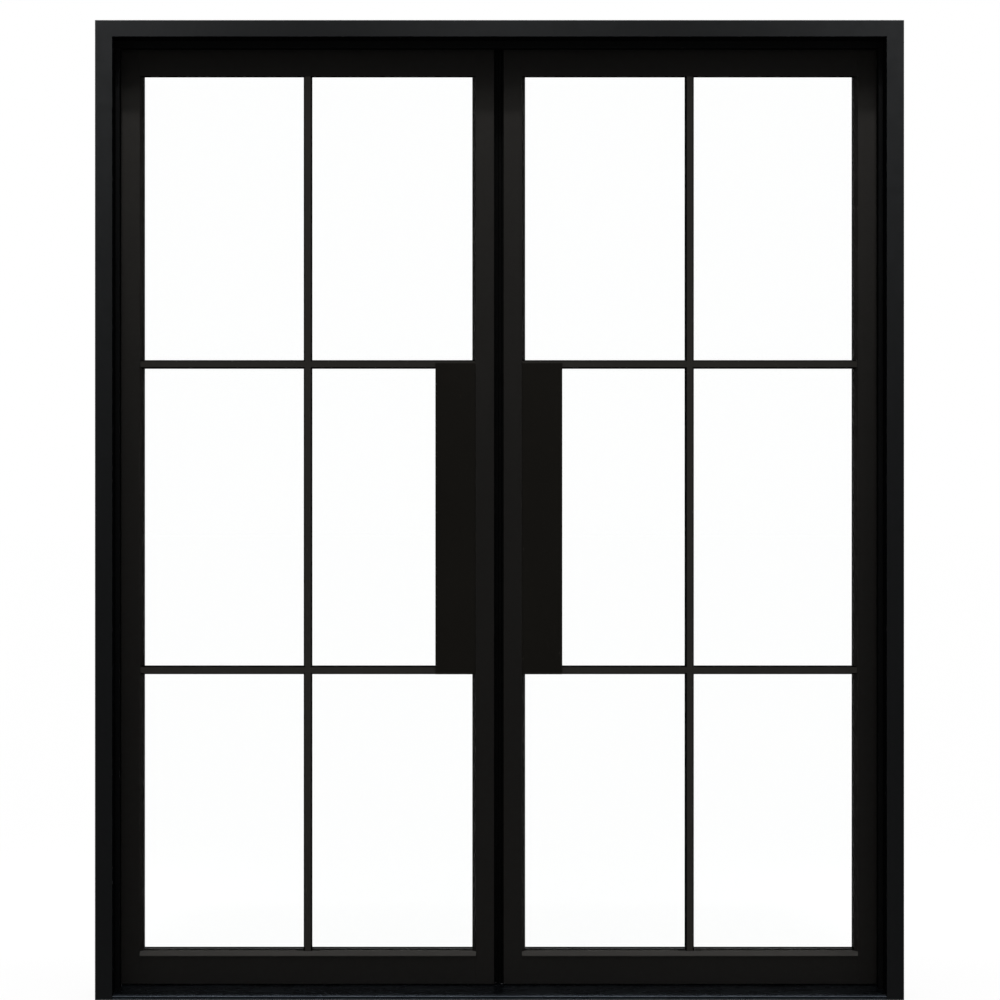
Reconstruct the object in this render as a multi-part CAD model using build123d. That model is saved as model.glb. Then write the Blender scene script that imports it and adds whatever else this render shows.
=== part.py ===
from build123d import *
import os

os.makedirs("parts", exist_ok=True)

# Exterior pair of glazed steel doors in their frame, seen from outdoors.
# X runs across the doorway, -Y is outdoors, +Z is up, and all lengths are millimetres.
# The origin is on the floor, midway across the frame and midway through its overall depth.
# Depths are counted from a front face towards indoors: the frame's, or the leaf's.

# Frame of welded steel tube
frame_width = 1727.0
frame_height = 2092.0
frame_depth = 110.0
jamb_face = 37.0
head_face = 35.5
frame_wall = 3.0
frame_edge_radius = 1.0

# Leaves and the gaps around them
leaf_thickness = 50.0
hinge_gap = 3.5
head_gap = 4.0
sill_gap = 3.6
meeting_gap = 20.0
leaf_wall = 2.5
leaf_edge_radius = 1.5
end_cap_thickness = 5.0
drain_radius = 3.0
hinge_stile_width = 45.8
meeting_stile_width = 40.0
top_rail_height = 55.2
bottom_rail_height = 65.9

# Glazing rebate: bevelled lips beside the glass, a square lip above it and a bead below it
lip_width = 7.2
lip_step = 1.0
lip_depth = 14.0
top_lip_height = 11.8
bead_drop = 5.5
bead_proud = 3.0
bead_nose_height = 1.5
bead_bevel_rise = 8.5
bead_bevel_run = 5.0
back_bead_width = 4.0
back_bead_inset = 1.0
back_bead_chamfer = 1.5

# Glazing bars
bar_width = 18.2
bar_recess = 2.0
bar_chamfer = 3.0
web_thickness = 4.0
web_tongue = 5.0
web_clearance = 0.1
cap_width = 12.0
vertical_bar_from_meeting_edge = 403.6
lower_bar_height = 699.6
upper_bar_height = 1361.9
foot_pad_length = 16.4
foot_pad_height = 2.1
foot_pad_depth = 5.0

# Insulated glass
lite_thickness = 5.0
cavity_depth = 12.0
glass_clearance = 1.5
spacer_width = 3.2
spacer_inset = 0.3
setting_block_length = 60.0
setting_block_place_share = 0.25

# Lock box beside the meeting stile
lock_width = 87.4
lock_cover_top_rise = 2.3
lock_wall = 3.0
lock_cover_thickness = 3.0
lock_cover_recess = 1.0
cover_screw_radius = 2.0
cover_screw_head_radius = 3.8
cover_screw_head_height = 2.2
cover_screw_head_chamfer = 0.8
cover_screw_length = 10.0
cover_screw_slot_width = 1.2
cover_screw_slot_depth = 0.9
cover_screw_from_end = 20.0
cover_screw_clearance = 0.1
cover_boss_width = 14.0
cover_boss_depth = 12.0

# Stops and seals in the frame
side_stop_projection = 9.5
head_stop_projection = 15.0
stop_depth = 18.0
stop_chamfer = 1.5
seal_gap = 3.0
seal_clearance = 0.3
seal_width = 5.0
seal_from_stop_edge = 0.8

# Sill extrusion
sill_height = 17.0
sill_foot_height = 4.0
sill_groove_depth = 3.0
sill_groove_height = 1.0
sill_nose_radius = 2.0
sill_nose_run = 4.0
sill_rib_groove_width = 1.2
sill_rib_groove_depth = 1.0
sill_slope_start_height = 10.0
sill_slope_end_depth = 55.0
sill_back_chamfer = 2.0
sill_wall = 2.5
sill_front_leg = 8.0

# Meeting seal and bottom sweep of a leaf
meeting_seal_depth = 22.0
meeting_seal_base_width = 12.0
meeting_seal_base_thickness = 1.2
meeting_seal_neck = 1.6
meeting_bulb_radius = 3.0
meeting_seal_half_gap = 0.7
sweep_depth = 18.0
sweep_base_width = 20.0
sweep_base_thickness = 1.0
sweep_fin_thickness = 2.0
sweep_clearance = 0.3
sweep_end_clearance = 2.0

# Weld-on lift-off hinges
hinge_height = 100.0
hinge_axis_offset = 7.5
knuckle_radius = 7.0
knuckle_chamfer = 1.0
wing_thickness = 4.0
wing_reach = 32.0
wing_relief = 1.0
pin_radius = 4.5
pin_clearance = 0.05
pin_seat_clearance = 0.02
pin_tip_chamfer = 1.0
pin_tip_room = 2.0
collar_radius = 6.8
collar_thickness = 2.0
collar_clearance = 0.05
hinge_cap_thickness = 8.0
top_hinge_from_leaf_top = 180.0
bottom_hinge_from_leaf_bottom = 240.0

# Sliding bolts in the meeting stile of the leaf that is fastened first
bolt_radius = 5.0
bolt_clearance = 0.08
bolt_length = 240.0
bolt_tip_chamfer = 1.0
bolt_retreat = 1.0
bolt_throw = 18.0
bolt_depth = 36.0
bolt_tab_width = 8.0
bolt_tab_height = 16.0
bolt_tab_proud = 4.0
bolt_tab_from_tip = 190.0
bolt_slot_clearance = 0.3
keeper_clearance = 0.8
strike_thickness = 2.0
strike_width = 20.0
strike_length = 60.0
strike_corner_radius = 4.0

# Anchor holes
anchor_radius = 4.5
anchor_depth = 85.0
jamb_anchor_outer_spacing = 1650.0
jamb_anchor_inner_spacing = 550.0
head_anchor_spacing = 1000.0

# Length by which every cut runs past the face it opens
overrun = 5.0

# Places that follow from the sizes above
frame_half = frame_width / 2
clear_half = frame_half - jamb_face
head_underside = frame_height - head_face
back_proud = hinge_axis_offset + knuckle_radius
front_y = -(frame_depth + back_proud) / 2
back_y = front_y + frame_depth
leaf_y = back_y - leaf_thickness
stop_back_y = leaf_y - seal_gap
stop_front_y = stop_back_y - stop_depth
anchor_y = front_y + anchor_depth

hinge_x = clear_half - hinge_gap
meeting_x = meeting_gap / 2
leaf_bottom = sill_height + sill_gap
leaf_top = head_underside - head_gap
hinge_tube_x = hinge_x - hinge_stile_width
meeting_tube_x = meeting_x + meeting_stile_width
bottom_tube_z = leaf_bottom + bottom_rail_height
top_tube_z = leaf_top - top_rail_height
glass_span_x = (meeting_tube_x, hinge_tube_x)
glass_span_z = (bottom_tube_z, top_tube_z)
top_lip_z = top_tube_z - top_lip_height
bead_bottom_z = bottom_tube_z - bead_drop
bead_top_z = bead_bottom_z + bead_nose_height + bead_bevel_rise

lip_y = leaf_y + lip_depth
unit_thickness = lite_thickness + cavity_depth + lite_thickness
unit_back_y = lip_y + unit_thickness
bead_back_y = back_y - back_bead_inset
web_end_y = unit_back_y + web_tongue

bar_x = meeting_x + vertical_bar_from_meeting_edge
web_half = web_thickness / 2
bar_half = bar_width / 2
lock_far_x = meeting_tube_x + lock_width
lock_box_x = lock_far_x - lip_width
lock_cover_bottom_z = lower_bar_height - bar_half
lock_cover_top_z = upper_bar_height + lock_cover_top_rise
lock_box_bottom_z = lower_bar_height - web_half
lock_box_top_z = upper_bar_height + web_half
lock_cover_y = leaf_y + lock_cover_recess
lock_box_y = lock_cover_y + lock_cover_thickness
lock_box_back_y = bead_back_y - lock_cover_thickness

hinge_axis_x = clear_half - hinge_gap / 2
hinge_axis_y = back_y + hinge_axis_offset
bottom_hinge_z = leaf_bottom + bottom_hinge_from_leaf_bottom
top_hinge_z = leaf_top - top_hinge_from_leaf_top
hinge_heights = (bottom_hinge_z, (bottom_hinge_z + top_hinge_z) / 2, top_hinge_z)

bolt_x = -(meeting_x + meeting_tube_x) / 2
bolt_y = leaf_y + bolt_depth
keeper_radius = bolt_radius + keeper_clearance


def block(x_span, y_span, z_span):
    """Box over three spans, each given as two ends in either order."""
    spans = (x_span, y_span, z_span)
    low = [min(span) for span in spans]
    size = [max(span) - min(span) for span in spans]
    return Pos(*low) * Box(*size, align=(Align.MIN, Align.MIN, Align.MIN))


def outline(*points):
    """Flat face inside straight edges through the points."""
    return make_face(Polyline(*points, close=True))


def upright(face, z_span):
    """A section drawn in X and Y, carried up between two heights."""
    return Pos(0, 0, z_span[0]) * extrude(face, z_span[1] - z_span[0])


def across(face, x_span):
    """A section drawn in Y and Z, carried along X between two places."""
    return Pos(x_span[0], 0, 0) * extrude(Plane.YZ * face, x_span[1] - x_span[0])


def upright_rod(x, y, radius, z_span):
    """Round bar or bore along Z."""
    return Pos(x, y, 0) * upright(Circle(radius), z_span)


def rectangle(u_span, v_span):
    """Rectangle over two spans of a section."""
    return outline(
        (u_span[0], v_span[0]),
        (u_span[1], v_span[0]),
        (u_span[1], v_span[1]),
        (u_span[0], v_span[1]),
    )


def inset(span, margin):
    """The span shortened by a margin at both ends."""
    return (span[0] + margin, span[1] - margin)


def largest(shape):
    """The biggest solid that a cut leaves, without its offcuts."""
    return shape.solids().sort_by(SortBy.VOLUME)[-1]


def frame_section(u_span, v_span):
    """Frame tube with rounded outer corners and a square bore."""
    outer = fillet(rectangle(u_span, v_span).vertices(), frame_edge_radius)
    return outer - rectangle(inset(u_span, frame_wall), inset(v_span, frame_wall))


def mitre_plane():
    """Plane of the welded corner, from the inner corner of the frame to the outer one."""
    return Plane(origin=(frame_half, 0, frame_height), z_dir=(-head_face, 0, jamb_face))


def jamb():
    """Upright frame tube on the +X side, mitred at the top and drilled for wall anchors."""
    section = frame_section((clear_half, frame_half), (front_y, back_y))
    post = split(upright(section, (0, frame_height)), bisect_by=mitre_plane(), keep=Keep.BOTTOM)
    for spacing in (jamb_anchor_outer_spacing, jamb_anchor_inner_spacing):
        for height in ((frame_height - spacing) / 2, (frame_height + spacing) / 2):
            drill = Plane.YZ * Pos(anchor_y, height) * Circle(anchor_radius)
            post -= Pos(clear_half - overrun, 0, 0) * extrude(drill, jamb_face + 2 * overrun)
    return post


def head():
    """Top frame tube, mitred at both ends, drilled for anchors and for the upper bolt."""
    section = frame_section((front_y, back_y), (head_underside, frame_height))
    beam = across(section, (-frame_half, frame_half))
    beam = split(beam, bisect_by=mitre_plane(), keep=Keep.TOP)
    beam = mirror(split(mirror(beam, about=Plane.YZ), bisect_by=mitre_plane(), keep=Keep.TOP), about=Plane.YZ)
    drill_span = (head_underside - overrun, frame_height + overrun)
    for x in (-head_anchor_spacing / 2, head_anchor_spacing / 2):
        beam -= upright_rod(x, anchor_y, anchor_radius, drill_span)
    keeper_span = (head_underside - overrun, head_underside + frame_wall + overrun)
    return beam - upright_rod(bolt_x, bolt_y, keeper_radius, keeper_span)


def strike():
    """Keeper plate under the head for the upper bolt."""
    plate = Pos(bolt_x, bolt_y) * RectangleRounded(strike_length, strike_width, strike_corner_radius)
    plate -= Pos(bolt_x, bolt_y) * Circle(keeper_radius)
    return upright(plate, (head_underside - strike_thickness, head_underside))


def sill():
    """Sill extrusion: grooved nose, sloping top, flat seat under the leaves and two open chambers below."""
    nose_bottom = sill_foot_height + sill_groove_height
    nose_top = nose_bottom + 2 * sill_nose_radius
    rib_back = sill_nose_run + sill_rib_groove_width
    front = Polyline(
        (0, 0),
        (0, sill_foot_height),
        (sill_groove_depth, sill_foot_height),
        (sill_groove_depth, nose_bottom),
        (sill_nose_radius, nose_bottom),
    )
    nose = ThreePointArc(
        (sill_nose_radius, nose_bottom),
        (0, nose_bottom + sill_nose_radius),
        (sill_nose_radius, nose_top),
    )
    top = Polyline(
        (sill_nose_radius, nose_top),
        (sill_nose_run, nose_top),
        (sill_nose_run, nose_top - sill_rib_groove_depth),
        (rib_back, nose_top - sill_rib_groove_depth),
        (rib_back, sill_slope_start_height),
        (sill_slope_end_depth, sill_height),
        (frame_depth - sill_back_chamfer, sill_height),
        (frame_depth, sill_height - sill_back_chamfer),
        (frame_depth, 0),
        (0, 0),
    )
    section = make_face(front + nose + top)
    slope_share = (sill_front_leg - rib_back) / (sill_slope_end_depth - rib_back)
    front_roof = sill_slope_start_height + slope_share * (sill_height - sill_slope_start_height) - sill_wall
    middle_leg = sill_slope_end_depth - sill_wall
    section -= outline(
        (sill_front_leg, 0),
        (sill_front_leg, front_roof),
        (middle_leg, sill_height - sill_wall),
        (middle_leg, 0),
    )
    section -= rectangle((sill_slope_end_depth, frame_depth - sill_wall), (0, sill_height - sill_wall))
    body = across(Pos(front_y, 0) * section, (-clear_half, clear_half))
    return body - upright_rod(bolt_x, bolt_y, keeper_radius, (-overrun, sill_height + overrun))


def side_stop(sill_body):
    """Bar on the jamb that the leaf closes towards, coped to the sill at its foot."""
    edge = clear_half - side_stop_projection
    section = outline(
        (clear_half, stop_front_y),
        (edge + stop_chamfer, stop_front_y),
        (edge, stop_front_y + stop_chamfer),
        (edge, stop_back_y),
        (clear_half, stop_back_y),
    )
    bar = upright(section, (sill_slope_start_height, head_underside - head_stop_projection))
    return largest(bar - sill_body)


def head_stop():
    """Bar under the head, from jamb to jamb."""
    edge = head_underside - head_stop_projection
    section = outline(
        (stop_front_y, head_underside),
        (stop_front_y, edge + stop_chamfer),
        (stop_front_y + stop_chamfer, edge),
        (stop_back_y, edge),
        (stop_back_y, head_underside),
    )
    return across(section, (-clear_half, clear_half))


def seal_section(edge):
    """Places of a D-shaped gasket: its sides and middle from the stop's edge, its shoulder and crown in Y."""
    near = edge + seal_from_stop_edge
    far = near + seal_width
    rise = seal_gap - seal_clearance
    shoulder = stop_back_y + rise / 2
    return near, far, (near + far) / 2, shoulder, stop_back_y + rise


def side_seal():
    """Gasket along a side stop."""
    near, far, middle, shoulder, crown = seal_section(clear_half - side_stop_projection)
    flat = Polyline((near, shoulder), (near, stop_back_y), (far, stop_back_y), (far, shoulder))
    bulb = ThreePointArc((far, shoulder), (middle, crown), (near, shoulder))
    return upright(make_face(flat + bulb), (sill_height, head_underside - head_stop_projection))


def head_seal():
    """Gasket along the head stop."""
    near, far, middle, shoulder, crown = seal_section(head_underside - head_stop_projection)
    flat = Polyline((shoulder, near), (stop_back_y, near), (stop_back_y, far), (shoulder, far))
    bulb = ThreePointArc((shoulder, far), (crown, middle), (shoulder, near))
    return across(make_face(flat + bulb), (-clear_half, clear_half))


def stile(tube_span, outer_x, lip_spans):
    """Leaf upright: capped and drained tube, rounded on its free edge, with a bevelled lip by the glass."""
    glass_x = tube_span[0] if outer_x == tube_span[1] else tube_span[1]
    towards_glass = 1 if glass_x > outer_x else -1
    section = rectangle(tube_span, (leaf_y, back_y))
    free_edge = section.vertices().group_by(Axis.X)[-1 if outer_x == tube_span[1] else 0]
    body = upright(fillet(free_edge, leaf_edge_radius), (leaf_bottom, leaf_top))
    bore = rectangle(inset(tube_span, leaf_wall), inset((leaf_y, back_y), leaf_wall))
    body -= upright(bore, inset((leaf_bottom, leaf_top), end_cap_thickness))
    drain_y = leaf_y + leaf_wall + drain_radius + end_cap_thickness
    drain_span = (leaf_bottom - overrun, leaf_bottom + end_cap_thickness + overrun)
    body -= upright_rod(sum(tube_span) / 2, drain_y, drain_radius, drain_span)
    lip_x = glass_x + towards_glass * lip_width
    lip = outline(
        (glass_x, leaf_y + lip_step),
        (lip_x, leaf_y + lip_step + lip_width),
        (lip_x, lip_y),
        (glass_x, lip_y),
    )
    for z_span in lip_spans:
        body += upright(lip, z_span)
    return body


def top_rail():
    """Tube between the stiles with a square lip that hangs in front of the glass."""
    tube = rectangle((leaf_y, back_y), (top_tube_z, leaf_top))
    tube -= rectangle(inset((leaf_y, back_y), leaf_wall), inset((top_tube_z, leaf_top), leaf_wall))
    lip = rectangle((leaf_y, lip_y), (top_lip_z, top_tube_z))
    return across(tube + lip, glass_span_x)


def bottom_rail():
    """Tube between the stiles at the foot of the leaf."""
    tube = rectangle((leaf_y, back_y), (leaf_bottom, bottom_tube_z))
    tube -= rectangle(inset((leaf_y, back_y), leaf_wall), inset((leaf_bottom, bottom_tube_z), leaf_wall))
    return across(tube, glass_span_x)


def bottom_bead():
    """Bevelled bead on the bottom rail, with a nose that laps over the rail's face."""
    nose_y = leaf_y - bead_proud
    nose_top = bead_bottom_z + bead_nose_height
    section = outline(
        (nose_y, bead_bottom_z),
        (nose_y, nose_top),
        (nose_y + bead_bevel_run, bead_top_z),
        (lip_y, bead_top_z),
        (lip_y, bottom_tube_z),
        (leaf_y, bottom_tube_z),
        (leaf_y, bead_bottom_z),
    )
    return across(section, glass_span_x)


def bar_outline(centre, swap):
    """Section of a glazing bar's front flange and of its web, about a centre line."""
    front = leaf_y + bar_recess
    flat = bar_half - bar_chamfer
    flange = [
        (centre - bar_half, lip_y),
        (centre - bar_half, front + bar_chamfer),
        (centre - flat, front),
        (centre + flat, front),
        (centre + bar_half, front + bar_chamfer),
        (centre + bar_half, lip_y),
    ]
    web = [
        (centre - web_half, lip_y),
        (centre + web_half, lip_y),
        (centre + web_half, web_end_y),
        (centre - web_half, web_end_y),
    ]
    if swap:
        flange = [(y, place) for place, y in flange]
        web = [(y, place) for place, y in web]
    return outline(*flange), outline(*web)


def vertical_bar():
    """Upright glazing bar, a tee with its flange between bead and top lip."""
    flange, web = bar_outline(bar_x, False)
    return upright(flange, (bead_top_z, top_lip_z)) + upright(web, glass_span_z)


def cross_bars(height, neighbours):
    """The two lengths of a horizontal glazing bar, coped to what they meet."""
    flange, web = bar_outline(height, True)
    lengths = []
    for x_span in ((meeting_tube_x, bar_x), (bar_x, hinge_tube_x)):
        length = across(flange, x_span) + across(web, x_span)
        for neighbour in neighbours:
            length -= neighbour
        lengths.append(largest(length))
    return Compound(lengths)


def lock_box():
    """Welded box beside the meeting stile, with lips that hold the glass and bosses for the back cover."""
    lip_bottom = (lock_cover_bottom_z, lock_box_bottom_z)
    x_span = (meeting_tube_x, lock_box_x)
    z_span = (lock_box_bottom_z, lock_box_top_z)
    box = block(x_span, (lock_box_y, lock_box_back_y), z_span)
    hollow_y = (lock_box_y - overrun, lock_box_back_y + overrun)
    box -= block(inset(x_span, lock_wall), hollow_y, inset(z_span, lock_wall))
    box += block((lock_box_x, lock_far_x), (lock_box_y, lip_y), (lock_cover_bottom_z, lock_cover_top_z))
    box += block((meeting_tube_x, lock_box_x), (lock_box_y, lip_y), lip_bottom)
    for x, z in cover_screw_places():
        boss_x = (x - cover_boss_width / 2, x + cover_boss_width / 2)
        boss_z = (z - cover_boss_width / 2, z + cover_boss_width / 2)
        box += block(boss_x, (lock_box_back_y - cover_boss_depth, lock_box_back_y), boss_z)
    for x, z in cover_screw_places():
        box -= cover_screw_bore(x, z)
    return box


def cover_screw_places():
    """Centres of the back cover's screws: in line with the box's middle, near its ends and at mid height."""
    x_low = meeting_tube_x + lock_wall + cover_boss_width / 2
    x_high = lock_box_x - lock_wall - cover_boss_width / 2
    z_low = lock_box_bottom_z + cover_screw_from_end
    z_high = lock_box_top_z - cover_screw_from_end
    rows = (z_low, (z_low + z_high) / 2, z_high)
    return [(x, z) for x in (x_low, x_high) for z in rows]


def cover_screw_bore(x, z):
    """Hole for a cover screw, from the cover's outer face into its boss."""
    drill = Plane(origin=(x, bead_back_y + overrun, z), z_dir=(0, -1, 0)) * Circle(
        cover_screw_radius + cover_screw_clearance
    )
    return extrude(drill, cover_screw_length + 2 * overrun)


def lock_covers():
    """Front and back plates of the lock box, the back one drilled for its screws."""
    front = block(
        (meeting_tube_x, lock_far_x),
        (lock_cover_y, lock_box_y),
        (lock_cover_bottom_z, lock_cover_top_z),
    )
    back = block(
        (meeting_tube_x, lock_box_x),
        (lock_box_back_y, bead_back_y),
        (lock_box_bottom_z, lock_box_top_z),
    )
    for x, z in cover_screw_places():
        back -= cover_screw_bore(x, z)
    return front, back


def cover_screws():
    """Slotted pan-head screws of the back cover."""
    screws = []
    for x, z in cover_screw_places():
        section = outline(
            (0, -cover_screw_length),
            (cover_screw_radius, -cover_screw_length),
            (cover_screw_radius, 0),
            (cover_screw_head_radius, 0),
            (cover_screw_head_radius, cover_screw_head_height - cover_screw_head_chamfer),
            (cover_screw_head_radius - cover_screw_head_chamfer, cover_screw_head_height),
            (0, cover_screw_head_height),
        )
        turned = revolve(Plane.XZ * section, Axis.Z)
        slot_half = cover_screw_slot_width / 2
        turned -= block(
            (-cover_screw_head_radius, cover_screw_head_radius),
            (-slot_half, slot_half),
            (cover_screw_head_height - cover_screw_slot_depth, cover_screw_head_height + overrun),
        )
        screws.append((Pos(x, bead_back_y, z) * Rot(-90, 0, 0) * turned).solid())
    return Compound(screws)


def pane_rows():
    """Height spans of the three rows of glass, between the bars' webs."""
    return {
        "lower": inset((bottom_tube_z, lower_bar_height - web_half), glass_clearance),
        "middle": inset((lower_bar_height + web_half, upper_bar_height - web_half), glass_clearance),
        "upper": inset((upper_bar_height + web_half, top_tube_z), glass_clearance),
    }


def pane_columns(row):
    """Width spans of the two panes in a row: the one beside the lock box is narrower."""
    inner_edge = lock_box_x if row == "middle" else meeting_tube_x
    return (
        inset((inner_edge, bar_x - web_half), glass_clearance),
        inset((bar_x + web_half, hinge_tube_x), glass_clearance),
    )


def panes(row):
    """Both lites of both insulated units in a row."""
    lites = []
    for x_span in pane_columns(row):
        for y in (lip_y, lip_y + lite_thickness + cavity_depth):
            lites.append(block(x_span, (y, y + lite_thickness), pane_rows()[row]).solid())
    return Compound(lites)


def spacers():
    """Edge spacers between the lites, one ring for each unit."""
    rings = []
    y_span = (lip_y + lite_thickness, lip_y + lite_thickness + cavity_depth)
    for row, z_span in pane_rows().items():
        for x_span in pane_columns(row):
            outer_x = inset(x_span, spacer_inset)
            outer_z = inset(z_span, spacer_inset)
            ring = block(outer_x, y_span, outer_z)
            hollow_y = (y_span[0] - overrun, y_span[1] + overrun)
            ring -= block(inset(outer_x, spacer_width), hollow_y, inset(outer_z, spacer_width))
            rings.append(ring.solid())
    return Compound(rings)


def setting_blocks():
    """Two blocks under each glass unit, and a pad on the bead at each side of the upright bar's foot."""
    blocks = []
    pad_y = (lip_y - foot_pad_depth, lip_y)
    pad_z = (bead_top_z, bead_top_z + foot_pad_height)
    for step in (-1, 1):
        pad_x = (bar_x + step * bar_half, bar_x + step * (bar_half + foot_pad_length))
        blocks.append(block(pad_x, pad_y, pad_z).solid())
    for row, z_span in pane_rows().items():
        for x_span in pane_columns(row):
            run = x_span[1] - x_span[0]
            for share in (setting_block_place_share, 1 - setting_block_place_share):
                centre = x_span[0] + share * run
                length = (centre - setting_block_length / 2, centre + setting_block_length / 2)
                seat = (z_span[0] - glass_clearance, z_span[0])
                blocks.append(block(length, (lip_y, unit_back_y), seat).solid())
    return Compound(blocks)


def chamfered_strip(place, step, width):
    """Section of a back bead: place is its fixed edge, step the way towards the glass."""
    free = place + step * width
    return [
        (place, unit_back_y),
        (free, unit_back_y),
        (free, bead_back_y - back_bead_chamfer),
        (free - step * back_bead_chamfer, bead_back_y),
        (place, bead_back_y),
    ]


def cap_section(centre):
    """Section of a cap over a bar's web: a channel with both outer edges chamfered."""
    half = cap_width / 2
    slot = web_half + web_clearance
    slot_end = web_end_y + web_clearance
    return [
        (centre - half, unit_back_y),
        (centre - slot, unit_back_y),
        (centre - slot, slot_end),
        (centre + slot, slot_end),
        (centre + slot, unit_back_y),
        (centre + half, unit_back_y),
        (centre + half, bead_back_y - back_bead_chamfer),
        (centre + half - back_bead_chamfer, bead_back_y),
        (centre - half + back_bead_chamfer, bead_back_y),
        (centre - half, bead_back_y - back_bead_chamfer),
    ]


def back_beads(bars):
    """Clip-on beads indoors: along stiles, rails and lock box and over the glazing bars, notched for webs."""
    beads = []

    def stand(points, z_span):
        beads.append(upright(outline(*points), z_span).solid())

    def lay(points, x_span):
        beads.append(across(outline(*[(y, place) for place, y in points]), x_span).solid())

    cap_half = cap_width / 2
    inner_x = meeting_tube_x + back_bead_width
    outer_x = hinge_tube_x - back_bead_width
    bottom_z = bottom_tube_z + back_bead_width
    top_z = top_tube_z - back_bead_width
    stand(chamfered_strip(hinge_tube_x, -1, back_bead_width), glass_span_z)
    stand(chamfered_strip(meeting_tube_x, 1, back_bead_width), (bottom_tube_z, lock_box_bottom_z))
    stand(chamfered_strip(meeting_tube_x, 1, back_bead_width), (lock_box_top_z, top_tube_z))
    lock_bead_span = inset((lower_bar_height, upper_bar_height), cap_half)
    stand(chamfered_strip(lock_box_x, 1, back_bead_width), lock_bead_span)
    lay(chamfered_strip(bottom_tube_z, 1, back_bead_width), (inner_x, outer_x))
    lay(chamfered_strip(top_tube_z, -1, back_bead_width), (inner_x, outer_x))
    lay(chamfered_strip(lock_box_bottom_z, -1, back_bead_width), (inner_x, lock_box_x))
    lay(chamfered_strip(lock_box_top_z, 1, back_bead_width), (inner_x, lock_box_x))
    stand(cap_section(bar_x), (bottom_z, top_z))
    for height in (lower_bar_height, upper_bar_height):
        lay(cap_section(height), (lock_box_x, bar_x - cap_half))
        lay(cap_section(height), (bar_x + cap_half, outer_x))
    for bar in bars:
        beads = [largest(bead - bar) for bead in beads]
    return Compound(beads)


def meeting_seal():
    """Bulb seal on the meeting edge: a base strip, a neck and a round bulb beside the centre line."""
    middle = leaf_y + meeting_seal_depth
    base = rectangle(
        (meeting_x - meeting_seal_base_thickness, meeting_x),
        (middle - meeting_seal_base_width / 2, middle + meeting_seal_base_width / 2),
    )
    bulb_x = meeting_seal_half_gap + meeting_bulb_radius
    neck = rectangle((bulb_x, meeting_x), (middle - meeting_seal_neck / 2, middle + meeting_seal_neck / 2))
    bulb = Pos(bulb_x, middle) * Circle(meeting_bulb_radius)
    return upright(base + neck + bulb, (leaf_bottom, leaf_top))


def bottom_sweep():
    """Sweep under the bottom rail: a base strip with two fins that stop just above the sill."""
    low = sill_height + sweep_clearance
    middle = leaf_y + sweep_depth
    half = sweep_base_width / 2
    base = rectangle((middle - half, middle + half), (leaf_bottom - sweep_base_thickness, leaf_bottom))
    for edge, step in ((middle - half, 1), (middle + half, -1)):
        fin = (edge, edge + step * sweep_fin_thickness)
        base += rectangle((min(fin), max(fin)), (low, leaf_bottom))
    return across(base, inset((meeting_x, hinge_x), sweep_end_clearance))


def hinge_wing(step, knuckle_span, bore_radius, bore_span, centre):
    """Wing plate with its knuckle; step is +1 for the jamb's wing and -1 for the leaf's."""
    relief = knuckle_radius + wing_relief
    plate_y = (back_y, back_y + wing_thickness)
    plate_z = (centre - hinge_height / 2, centre + hinge_height / 2)
    plate = block(
        (hinge_axis_x + step * relief, hinge_axis_x + step * wing_reach),
        plate_y,
        plate_z,
    )
    plate += block((hinge_axis_x, hinge_axis_x + step * relief), plate_y, knuckle_span)
    knuckle = upright_rod(hinge_axis_x, hinge_axis_y, knuckle_radius, knuckle_span)
    plate += chamfer(knuckle.edges().filter_by(GeomType.CIRCLE), knuckle_chamfer)
    return (plate - upright_rod(hinge_axis_x, hinge_axis_y, bore_radius, bore_span)).solid()


def hinges():
    """Jamb wings, leaf wings and collared pins of the three hinges on one side."""
    jamb_wings = []
    leaf_wings = []
    pins = []
    half = hinge_height / 2
    collar_half = collar_thickness / 2
    for centre in hinge_heights:
        low = centre - half
        high = centre + half
        seat = (low, centre - collar_half)
        swing = (centre + collar_half + collar_clearance, high)
        pin_top = high - hinge_cap_thickness - pin_tip_room
        seat_bore = (low - overrun, centre + overrun)
        swing_bore = (centre - overrun, high - hinge_cap_thickness)
        jamb_wings.append(hinge_wing(1, seat, pin_radius + pin_seat_clearance, seat_bore, centre))
        leaf_wings.append(hinge_wing(-1, swing, pin_radius + pin_clearance, swing_bore, centre))
        pin = upright_rod(hinge_axis_x, hinge_axis_y, pin_radius, (low, pin_top))
        tip = pin.edges().filter_by(GeomType.CIRCLE).sort_by(Axis.Z)[-1]
        pin = chamfer(tip, pin_tip_chamfer)
        collar_span = (centre - collar_half, centre + collar_half)
        pin += upright_rod(hinge_axis_x, hinge_axis_y, collar_radius, collar_span)
        pins.append(pin.solid())
    return Compound(jamb_wings), Compound(leaf_wings), Compound(pins)


def bolt_spans(upper):
    """Heights of a bolt at rest: its rod, its thumb tab and the slot that the tab slides in."""
    way = 1 if upper else -1
    tip = (leaf_top if upper else leaf_bottom) - way * bolt_retreat
    rod = sorted((tip, tip - way * bolt_length))
    tab_middle = tip - way * bolt_tab_from_tip
    tab = (tab_middle - bolt_tab_height / 2, tab_middle + bolt_tab_height / 2)
    slot_low = tab[0] - bolt_slot_clearance - (0 if upper else bolt_throw)
    slot_high = tab[1] + bolt_slot_clearance + (bolt_throw if upper else 0)
    return rod, tab, (slot_low, slot_high)


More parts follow.
